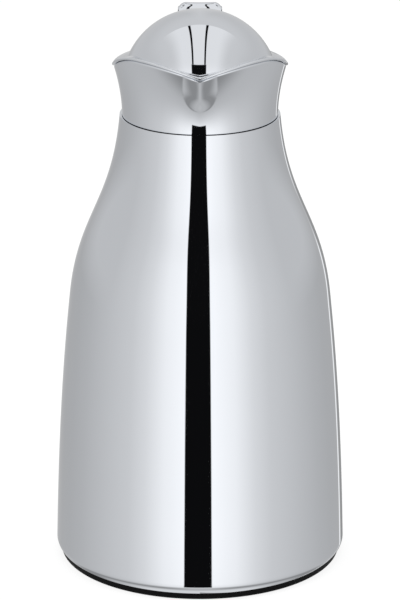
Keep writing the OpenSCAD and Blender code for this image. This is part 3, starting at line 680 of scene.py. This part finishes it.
def handle_tree():
    """A grip swept along two drawn curves, with a soft-cornered section that slims towards its ends."""
    points = ["Top", "Top_1", "Bend_1", "Bend", "Bend_2", "Low_1", "Low"]
    tree, given = tree_with("handle_sweep", **{p: "NodeSocketVector" for p in points},
                            Width="NodeSocketFloat", Thickness="NodeSocketFloat", Corner="NodeSocketFloat")
    upper = add(tree, "GeometryNodeCurvePrimitiveBezierSegment", Resolution=72, Start=given["Top"],
                Start_Handle=given["Top 1"], End_Handle=given["Bend 1"], End=given["Bend"])
    lower = add(tree, "GeometryNodeCurvePrimitiveBezierSegment", Resolution=72, Start=given["Bend"],
                Start_Handle=given["Bend 2"], End_Handle=given["Low 1"], End=given["Low"])
    along = add(tree, "GeometryNodeSplineParameter").outputs["Factor"]
    paths = []
    for curve, start, end in ((upper, 0.0, math.pi / 2), (lower, math.pi / 2, math.pi)):
        swing = add(tree, "ShaderNodeMapRange", Value=along, To_Min=start, To_Max=end)
        swell = add(tree, "ShaderNodeMath", {"operation": "SINE"}, _0=swing.outputs[0])
        size = add(tree, "ShaderNodeMath", {"operation": "MULTIPLY_ADD"}, _0=swell.outputs[0], _1=0.2, _2=0.8)
        square = add(tree, "GeometryNodeSetCurveNormal", {"mode": "FREE"}, Curve=curve.outputs[0],
                     Normal=(1.0, 0.0, 0.0))
        paths.append(add(tree, "GeometryNodeSetCurveRadius", Curve=square.outputs[0], Radius=size.outputs[0]))
    block = add(tree, "GeometryNodeCurvePrimitiveQuadrilateral", Width=given["Width"],
                Height=given["Thickness"])
    section = add(tree, "GeometryNodeFilletCurve", {"mode": "POLY"}, Curve=block.outputs[0], Count=12,
                  Radius=given["Corner"])
    both = add(tree, "GeometryNodeJoinGeometry")
    for path in paths:
        tree.links.new(path.outputs[0], both.inputs[0])
    swept = add(tree, "GeometryNodeCurveToMesh", Curve=both.outputs[0], Profile_Curve=section.outputs[0])
    joined = add(tree, "GeometryNodeMergeByDistance", Geometry=swept.outputs[0], Distance=0.00001)
    end_tree(tree, joined.outputs[0], given["Material"])
    return tree


class JUG_OT_handle(bpy.types.Operator):
    """Sweeps the loop handle"""

    bl_idname = "jug.handle"
    bl_label = "Handle"

    def execute(self, context):
        route = {
            "Top": (46.55, 225.5), "Top_1": (76.5, 226.5), "Bend_1": (105, 217.5), "Bend": (105.93, 179.5),
            "Bend_2": (107, 139.5), "Low_1": (96.1, 94), "Low": (70.1, 88),
        }
        sizes = context.scene.jug_sizes
        piece = grow("chrome_handle", handle_tree(), finish_for("chrome"), Width=sizes.grip_width,
                     Thickness=sizes.grip_thickness, Corner=0.46 * sizes.grip_thickness,
                     **{k: (0.0, p[0] * MM, p[1] * MM) for k, p in route.items()})
        close_ends(piece)
        finish_mesh(piece, 40)
        dress(piece, "chrome", "jug", "handle")
        return {"FINISHED"}


def curve_point(p, t):
    """A point of a cubic curve with the handles p, each (y, z)."""
    s = 1 - t
    return tuple(s**3 * a + 3 * s * s * t * b + 3 * s * t * t * c + t**3 * d for a, b, c, d in zip(*p))


def at_height(p, z, low, high):
    """Where between low and high a rising curve reaches a height; a falling one has low above high."""
    for _ in range(30):
        mid = (low + high) / 2
        if curve_point(p, mid)[1] < z:
            low = mid
        else:
            high = mid
    return mid


def inset(points, d):
    """A closed outline moved inward by d."""
    result = []
    for before, p, after in zip(points[-1:] + points[:-1], points, points[1:] + points[:1]):
        along = (after[0] - before[0], after[1] - before[1])
        length = math.hypot(*along)
        result.append((p[0] + along[1] * d / length, p[1] - along[0] * d / length))
    return result


def rod(name, radius, length, x, y, z):
    """A closed cylinder along X, in millimetres."""
    shape = bmesh.new()
    bmesh.ops.create_cone(shape, cap_ends=True, segments=96, radius1=radius * MM, radius2=radius * MM,
                          depth=length * MM)
    for vert in shape.verts:
        vert.co = Vector((vert.co.z + x * MM, vert.co.y + y * MM, vert.co.x + z * MM))
    bmesh.ops.recalc_face_normals(shape, faces=shape.faces)
    return piece_from(name, shape)


def carve(piece, cutter, operation="DIFFERENCE"):
    """Cuts or joins a helper shape and throws the helper away."""
    step = piece.modifiers.new("carve", "BOOLEAN")
    step.operation = operation
    step.object = cutter
    step.solver = "EXACT"
    settle(piece)
    bpy.data.objects.remove(cutter)


LEVER_HALF = LEVER_HIGH.x / MM
LEVER_CORNER = 4.0
LEVER_EDGE = 0.7
LEVER_CROWN = 1.5


def lever_outline(x):
    """The lever's side outline at a distance x from the middle, round the hinge pin, in millimetres."""
    upper = [(-17, 12.2), (-9, 8.2), (-1.5, 7.6), (7.2, 17.6)]
    lower = [(10, 17.6), (5, 7), (3.4, 3.4), (2, 2.4)]
    d = max(abs(x) - LEVER_HALF + LEVER_CORNER, 0)
    top = LEVER_HIGH.z / MM - HINGE_Z - LEVER_CORNER + math.sqrt(LEVER_CORNER**2 - d**2)
    soft = 0.9
    up_end, low_start = at_height(upper, top - soft, 0.5, 1), at_height(lower, top - soft, 0.7, 0)
    p, q = curve_point(upper, up_end), curve_point(lower, low_start)
    over = [(p[0] + (q[0] - p[0]) * (1 - cos(20 * i)) / 2, p[1] + (q[1] - p[1]) * (1 - cos(20 * i)) / 2
             + soft * sin(20 * i)) for i in range(1, 9)]
    line = ([curve_point(upper, up_end * i / 30) for i in range(31)] + over
            + [curve_point(lower, low_start + (1 - low_start) * i / 20) for i in range(21)]
            + [(-2, 1), (-17, 1)])
    # The thumb piece is crowned across its width
    crown = LEVER_CROWN * (1 - (x / LEVER_HALF) ** 2)
    return [(y - crown * smooth((z - 4) / 8), z) for y, z in line]


class JUG_OT_lever(bpy.types.Operator):
    """Forms the thumb lever on its knuckle and fits it to the lid"""

    bl_idname = "jug.lever"
    bl_label = "Thumb lever"

    def execute(self, context):
        flat = LEVER_HALF - LEVER_EDGE
        half = ([(flat * i / 24, 0.0) for i in range(1, 25)]
                + [(flat + LEVER_EDGE * sin(18 * i), LEVER_EDGE * (1 - cos(18 * i))) for i in range(1, 6)])
        stations = [(-x, d) for x, d in reversed(half)] + [(0.0, 0.0)] + half
        shape = bmesh.new()
        loops = []
        for x, d in stations:
            line = inset(lever_outline(min(abs(x), flat)), d)
            loops.append([shape.verts.new((x * MM, (HINGE_Y + y) * MM, (HINGE_Z + z) * MM)) for y, z in line])
        for left, right in zip(loops, loops[1:]):
            for i in range(len(left)):
                k = (i + 1) % len(left)
                shape.faces.new((left[i], left[k], right[k], right[i]))
        shape.faces.new(loops[0])
        shape.faces.new(loops[-1])
        bmesh.ops.recalc_face_normals(shape, faces=shape.faces)
        piece = piece_from("chrome_lever", shape)
        carve(piece, rod("knuckle", 4.0, 16.2, 0, HINGE_Y, HINGE_Z), "UNION")
        # The lever sits on the lid's rear brim and dome, this much clear of them
        clear = 0.1
        rim_z = REAR_LIP_Z + LID_GAP
        edge = REAR_LIP_R + (RIM_OVERHANG + clear)
        seat = [(0, REAR_LIP_Z - 5), (edge, REAR_LIP_Z - 5), (edge, rim_z + 0.5),
                (REAR_LIP_R + 0.9, rim_z + 1.1), (REAR_LIP_R - clear, rim_z + (BRIM_HEIGHT + clear))]
        seat += [dome_point(REAR_CREASE * (1 - i / 40), collar_radius() + clear) for i in range(41)]
        carve(piece, loft("seat", [seat] * len(round_angles()), False))
        # Room for the two ears, the spring and the pin
        for x, radius, length in ((18.1, 4.6, 20.0), (-18.1, 4.6, 20.0), (0.0, 4.4, 7.6), (0.0, 1.55, 25.0)):
            carve(piece, rod("clearance", radius, length, x, HINGE_Y, HINGE_Z))
        finish_mesh(piece, 30)
        dress(piece, "chrome", "lid", "thumb_lever")
        return {"FINISHED"}


def spring_tree():
    """A coil of wire along X, with a straight leg at each end."""
    tree, given = tree_with("wound_spring", Coil_radius="NodeSocketFloat", Wire_radius="NodeSocketFloat",
                            Half_length="NodeSocketFloat", Turns="NodeSocketFloat", Centre="NodeSocketVector",
                            Low_leg="NodeSocketVector", High_leg="NodeSocketVector")
    line = add(tree, "GeometryNodeCurvePrimitiveLine", Start=(0.0, 0.0, 0.0), End=(1.0, 0.0, 0.0))
    fine = add(tree, "GeometryNodeResampleCurve", Curve=line.outputs[0], Count=265)
    share = add(tree, "GeometryNodeSplineParameter").outputs["Factor"]
    back = add(tree, "ShaderNodeMath", {"operation": "MULTIPLY"}, _0=given["Half length"], _1=-1.0)
    x = add(tree, "ShaderNodeMapRange", Value=share, To_Min=back.outputs[0], To_Max=given["Half length"])
    full = add(tree, "ShaderNodeMath", {"operation": "MULTIPLY"}, _0=given["Turns"], _1=2 * math.pi)
    turn = add(tree, "ShaderNodeMath", {"operation": "MULTIPLY_ADD"}, _0=share, _1=full.outputs[0],
               _2=math.pi)
    east = add(tree, "ShaderNodeMath", {"operation": "COSINE"}, _0=turn.outputs[0])
    up = add(tree, "ShaderNodeMath", {"operation": "SINE"}, _0=turn.outputs[0])
    down = add(tree, "ShaderNodeMath", {"operation": "MULTIPLY"}, _0=up.outputs[0], _1=-1.0)
    y = add(tree, "ShaderNodeMath", {"operation": "MULTIPLY"}, _0=east.outputs[0], _1=given["Coil radius"])
    z = add(tree, "ShaderNodeMath", {"operation": "MULTIPLY"}, _0=down.outputs[0], _1=given["Coil radius"])
    place = add(tree, "ShaderNodeCombineXYZ", _0=x.outputs[0], _1=y.outputs[0], _2=z.outputs[0])
    coil = add(tree, "GeometryNodeSetPosition", Geometry=fine.outputs[0], Position=place.outputs[0])
    near = add(tree, "ShaderNodeMath", {"operation": "MULTIPLY"}, _0=given["Coil radius"], _1=-1.0)
    low_end = add(tree, "ShaderNodeCombineXYZ", _0=back.outputs[0], _1=near.outputs[0])
    high_end = add(tree, "ShaderNodeCombineXYZ", _0=given["Half length"], _1=given["Coil radius"])
    wires = add(tree, "GeometryNodeJoinGeometry")
    for start, end in ((low_end, given["Low leg"]), (high_end, given["High leg"])):
        leg = add(tree, "GeometryNodeCurvePrimitiveLine", Start=start.outputs[0], End=end)
        tree.links.new(leg.outputs[0], wires.inputs[0])
    tree.links.new(coil.outputs[0], wires.inputs[0])
    round_wire = add(tree, "GeometryNodeCurvePrimitiveCircle", Resolution=16, Radius=given["Wire radius"])
    swept = add(tree, "GeometryNodeCurveToMesh", Curve=wires.outputs[0],
                Profile_Curve=round_wire.outputs[0], Fill_Caps=True)
    placed = add(tree, "GeometryNodeTransform", Geometry=swept.outputs[0], Translation=given["Centre"])
    end_tree(tree, placed.outputs[0], given["Material"])
    return tree


class JUG_OT_spring(bpy.types.Operator):
    """Winds the lid's spring round the hinge pin"""

    bl_idname = "jug.spring"
    bl_label = "Lid spring"

    def execute(self, context):
        wire = context.scene.jug_sizes.wire_radius
        pin, play = 1.5 * MM, 0.35 * MM
        coil = pin + wire + play
        half = 3.5 * MM - wire
        low = (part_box("lid_spring")[0].z - HINGE_Z * MM) + wire
        piece = grow("steel_spring", spring_tree(), finish_for("steel"), Coil_radius=coil, Wire_radius=wire,
                     Half_length=half, Turns=5.5, Centre=(0.0, HINGE_Y * MM, HINGE_Z * MM),
                     Low_leg=(-half, -coil, low), High_leg=(half, coil + 0.9 * MM, 2.8 * MM))
        finish_mesh(piece, 40)
        dress(piece, "steel", "jug", "lid_spring")
        return {"FINISHED"}


def softened(name, node, slot, body, width):
    """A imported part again, with its arrises rounded as pressing and polishing leave them."""
    shape = shape_of(frame["nodes"][node].data)
    bmesh.ops.dissolve_limit(shape, angle_limit=math.radians(1.0), verts=shape.verts, edges=shape.edges)
    piece = piece_from(name, shape)
    edge = piece.modifiers.new("arris", "BEVEL")
    edge.width = width * MM
    edge.segments = 3
    edge.limit_method = "ANGLE"
    edge.angle_limit = math.radians(40)
    finish_mesh(settle(piece), 35)
    dress(piece, slot, body, node)


class JUG_OT_bracket(bpy.types.Operator):
    """Rounds the arrises of the hinge bracket and of the handle's lower foot"""

    bl_idname = "jug.bracket"
    bl_label = "Hinge bracket and handle foot"

    def execute(self, context):
        softened("chrome_bracket", "hinge_bracket", "chrome", "jug", 0.5)
        softened("chrome_handle_foot", "handle_foot", "chrome", "jug", 0.4)
        return {"FINISHED"}


class JUG_OT_finishes(bpy.types.Operator):
    """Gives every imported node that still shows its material"""

    bl_idname = "jug.finishes"
    bl_label = "Finishes of the packed parts"

    def execute(self, context):
        slots = {part["node"]: part["material_slot"] for part in frame["record"]["subparts"]}
        for name, node in frame["nodes"].items():
            node.data.materials.clear()
            node.data.materials.append(finish_for(slots[name]))
        return {"FINISHED"}


# ---- Studio ----

def studio_world():
    """A white room to the eye. Polished metal sees a light tent: bright in front and grey at the sides and
    back, with a dark slot in front, through which the jug is looked at."""
    world = bpy.data.worlds.new("studio")
    bpy.context.scene.world = world
    world.use_nodes = True
    tree = world.node_tree
    tree.nodes.clear()
    towards = add(tree, "ShaderNodeSeparateXYZ", _0=add(tree, "ShaderNodeTexCoord").outputs["Generated"])
    x, y, z = towards.outputs
    side = add(tree, "ShaderNodeMath", {"operation": "ABSOLUTE"}, _0=x).outputs[0]
    front = add(tree, "ShaderNodeMath", {"operation": "MULTIPLY"}, _0=y, _1=-1.0).outputs[0]
    # How far round from the front, 0 to 1
    swing = add(tree, "ShaderNodeMath", {"operation": "ARCTAN2"}, _0=side, _1=front)
    turn = add(tree, "ShaderNodeMath", {"operation": "DIVIDE"}, _0=swing.outputs[0], _1=math.pi).outputs[0]
    # How far from the slot's middle line, and from the roof's edge at the back
    off_slot = add(tree, "ShaderNodeMath", {"operation": "ADD"}, _0=x, _1=0.026)
    from_slot = add(tree, "ShaderNodeMath", {"operation": "ABSOLUTE"}, _0=off_slot.outputs[0]).outputs[0]
    past_roof = add(tree, "ShaderNodeMath", {"operation": "MULTIPLY_ADD"}, _0=z, _1=-0.554, _2=y).outputs[0]
    walls = add(tree, "ShaderNodeValToRGB", _0=turn)
    stops = [(0.07, "#FFFFFF"), (0.16, "#F4F4F4"), (0.25, "#DCDCDC"), (0.33, "#CDCDCD"), (0.5, "#BEBEBE"),
             (0.61, "#B4B4B4"), (0.72, "#ADADAD"), (0.83, "#AAAAAA"), (0.9, "#AEAEAE"), (1.0, "#CACACA")]
    ramp = walls.color_ramp
    ramp.elements[0].position, ramp.elements[0].color = stops[0][0], linear(stops[0][1])
    ramp.elements[1].position, ramp.elements[1].color = stops[-1][0], linear(stops[-1][1])
    for position, code in stops[1:-1]:
        ramp.elements.new(position).color = linear(code)
    # Each limit is 0 at its first value of a direction and 1 at its second
    limits = {
        "SMOOTHSTEP": {
            "strip": (side, 0.64, 0.36), "high": (z, 0.35, 0.8), "deep": (z, -0.31, -0.57),
            "aside": (side, 0.06, 0.40), "lowest": (z, -0.54, -0.68)},
        "LINEAR": {
            "lift": (z, -0.14, 0.06), "ceiling": (past_roof, 0.006, -0.006),
            "nearest": (z, -0.84, -0.74), "underfoot": (z, -0.86, -0.94),
            "across": (from_slot, 0.183, 0.172), "above": (z, -0.412, -0.404), "below": (z, 0.745, 0.735),
            "seam_in": (from_slot, 0.124, 0.129), "seam_out": (from_slot, 0.168, 0.163),
            "over": (z, 0.735, 0.745), "gap_in": (turn, 0.847, 0.851), "gap_out": (turn, 0.872, 0.868),
            "past_gap": (turn, 0.874, 0.884), "level": (z, -0.13, -0.18)},
    }
    share = {}
    for kind, rows in limits.items():
        for name, (value, start, end) in rows.items():
            share[name] = add(tree, "ShaderNodeMapRange", {"interpolation_type": kind}, Value=value,
                              From_Min=start, From_Max=end).outputs[0]
    for name, value in (("ahead", front), ("right", x)):
        share[name] = add(tree, "ShaderNodeMath", {"operation": "GREATER_THAN"}, _0=value, _1=0.0).outputs[0]
    # Each feature lies where all of its limits hold
    features = {
        "lit": ("strip", "ceiling"),
        "dusk": ("aside", "nearest", "lowest"),
        "slot": ("across", "ahead", "above", "below"),
        "seam": ("seam_in", "seam_out", "over", "ceiling"),
        "low_right": ("right", "level"),
        "beyond": ("past_gap", "low_right"),
        "gap": ("gap_in", "gap_out", "low_right"),
    }
    for feature, names in features.items():
        share[feature] = share[names[0]]
        for name in names[1:]:
            share[feature] = add(tree, "ShaderNodeMath", {"operation": "MULTIPLY"}, _0=share[feature],
                                 _1=share[name]).outputs[0]
    # The roof is grey with a lighter strip over the middle, which ends in a straight edge at the back
    roof = add(tree, "ShaderNodeMix", {"data_type": "RGBA"}, _0=share["lit"], _6=linear("#CBCBCB"),
               _7=linear("#E3E3E3")).outputs[2]
    # The tent's floor is grey, darker at the sides and lighter straight below
    dim = add(tree, "ShaderNodeMix", {"data_type": "RGBA"}, _0=share["dusk"], _6=linear("#B6B6B6"),
              _7=linear("#8C8C8C")).outputs[2]
    ground = add(tree, "ShaderNodeMix", {"data_type": "RGBA"}, _0=share["underfoot"], _6=dim,
                 _7=linear("#D6D6D6")).outputs[2]
    # Above eye level the far walls grow lighter
    tent = add(tree, "ShaderNodeMix", {"data_type": "RGBA", "blend_type": "LIGHTEN"}, _0=share["lift"],
               _6=walls.outputs[0], _7=linear("#C0C0C0")).outputs[2]
    # Then, each over the one before: roof, floor, the dark slot, the two thin seams that run from it over
    # the roof, and low behind on the right a darker wall and the narrow bright gap in front of it
    for name, colour in (("high", roof), ("deep", ground), ("slot", linear("#0C0C0D")),
                         ("seam", linear("#0C0C0D")), ("beyond", linear("#909090")),
                         ("gap", linear("#F4F4F4"))):
        tent = add(tree, "ShaderNodeMix", {"data_type": "RGBA"}, _0=share[name], _6=tent,
                   _7=colour).outputs[2]
    reflected = add(tree, "ShaderNodeBackground", Color=tent, Strength=1.13)
    room = add(tree, "ShaderNodeBackground", Color=linear("#FFFFFF"), Strength=1.0)
    fill = add(tree, "ShaderNodeBackground", Color=linear("#FFFFFF"), Strength=0.62)
    path = add(tree, "ShaderNodeLightPath")
    seen = add(tree, "ShaderNodeMath", {"operation": "MAXIMUM"}, _0=path.outputs["Is Camera Ray"],
               _1=path.outputs["Is Transmission Ray"])
    plain = add(tree, "ShaderNodeMixShader", _0=seen.outputs[0], _1=fill.outputs[0], _2=room.outputs[0])
    every = add(tree, "ShaderNodeMixShader", _0=path.outputs["Is Glossy Ray"], _1=plain.outputs[0],
                _2=reflected.outputs[0])
    add(tree, "ShaderNodeOutputWorld", _0=every.outputs[0])


def table_paper():
    """Matt white paper sweep: white where it is lit, and it keeps the jug's shadow."""
    material = bpy.data.materials.new("paper_sweep_white")
    material.use_nodes = True
    tree = material.node_tree
    tree.nodes.clear()
    paper = add(tree, "ShaderNodeBsdfDiffuse", Color=linear("#E8E8E8"))
    lit = add(tree, "ShaderNodeBsdfDiffuse", Color=linear("#7C7C7C"))
    white = add(tree, "ShaderNodeEmission", Color=linear("#FFFFFF"), Strength=0.84)
    both = add(tree, "ShaderNodeAddShader", _0=lit.outputs[0], _1=white.outputs[0])
    path = add(tree, "ShaderNodeLightPath")
    seen = add(tree, "ShaderNodeMath", {"operation": "MAXIMUM"}, _0=path.outputs["Is Camera Ray"],
               _1=path.outputs["Is Transmission Ray"])
    surface = add(tree, "ShaderNodeMixShader", _0=seen.outputs[0], _1=paper.outputs[0], _2=both.outputs[0])
    add(tree, "ShaderNodeOutputMaterial", _0=surface.outputs[0])
    return material


class JUG_OT_studio(bpy.types.Operator):
    """Sets up the floor, the light and the camera"""

    bl_idname = "jug.studio"
    bl_label = "Studio"

    def execute(self, context):
        scene = context.scene
        scene.view_settings.view_transform = "Standard"
        shape = bmesh.new()
        bmesh.ops.create_circle(shape, cap_ends=True, radius=6.0, segments=96)
        floor = piece_from("floor", shape)
        floor.data.materials.append(table_paper())
        floor.visible_glossy = False  # the plating sees the tent's floor in its place
        studio_world()
        for name, place, size, power in (("softbox_left", (-1.3, -1.0, 1.5), 1.2, 13.0),
                                         ("softbox_right", (1.4, -0.7, 1.3), 1.2, 9.0),
                                         ("softbox_top", (0.0, 0.3, 1.9), 1.4, 10.0)):
            lamp = bpy.data.lights.new(name, "AREA")
            lamp.shape = "DISK"
            lamp.size = size
            lamp.energy = power
            holder = bpy.data.objects.new(name, lamp)
            scene.collection.objects.link(holder)
            holder.location = place
            aim = Vector((0, 0, 0.12)) - holder.location
            holder.rotation_euler = aim.to_track_quat("-Z", "Y").to_euler()
            holder.visible_glossy = False
        camera = bpy.data.cameras.new("camera")
        camera.sensor_fit = "VERTICAL"
        camera.sensor_height = 36.0
        camera.lens = 227.35
        dip = 0.328  # radians below the level
        holder = bpy.data.objects.new("camera", camera)
        holder.location = (0.0, -1.7, 0.7041)
        holder.rotation_euler = (math.pi / 2 - dip, 0.0, 0.0)
        scene.collection.objects.link(holder)
        scene.camera = holder
        return {"FINISHED"}


class JUG_PT_panel(bpy.types.Panel):
    """Lists the jug's pieces, sizes and colours"""

    bl_idname = "JUG_PT_panel"
    bl_label = "Vacuum jug"
    bl_space_type = "VIEW_3D"
    bl_region_type = "UI"
    bl_category = "Jug"

    def draw(self, context):
        for operator in OPERATORS:
            self.layout.operator(operator.bl_idname)
        for group in (context.scene.jug_sizes, context.scene.jug_colours):
            for key in group.__annotations__:
                self.layout.prop(group, key)


OPERATORS = (JUG_OT_finishes, JUG_OT_body, JUG_OT_base, JUG_OT_collar, JUG_OT_lid, JUG_OT_lever,
             JUG_OT_spring, JUG_OT_handle, JUG_OT_bracket, JUG_OT_studio)
CLASSES = (JugSizes, JugColours) + OPERATORS + (JUG_PT_panel,)


def register():
    for cls in CLASSES:
        bpy.utils.register_class(cls)
    bpy.types.Scene.jug_sizes = bpy.props.PointerProperty(type=JugSizes)
    bpy.types.Scene.jug_colours = bpy.props.PointerProperty(type=JugColours)


def unregister():
    del bpy.types.Scene.jug_colours
    del bpy.types.Scene.jug_sizes
    for cls in reversed(CLASSES):
        bpy.utils.unregister_class(cls)


def main():
    """Builds every piece."""
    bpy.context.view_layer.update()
    register()
    for call in (bpy.ops.jug.finishes, bpy.ops.jug.body, bpy.ops.jug.base, bpy.ops.jug.collar,
                 bpy.ops.jug.lid, bpy.ops.jug.lever, bpy.ops.jug.spring, bpy.ops.jug.handle,
                 bpy.ops.jug.bracket, bpy.ops.jug.studio):
        call()


if __name__ == "__main__":
    main()
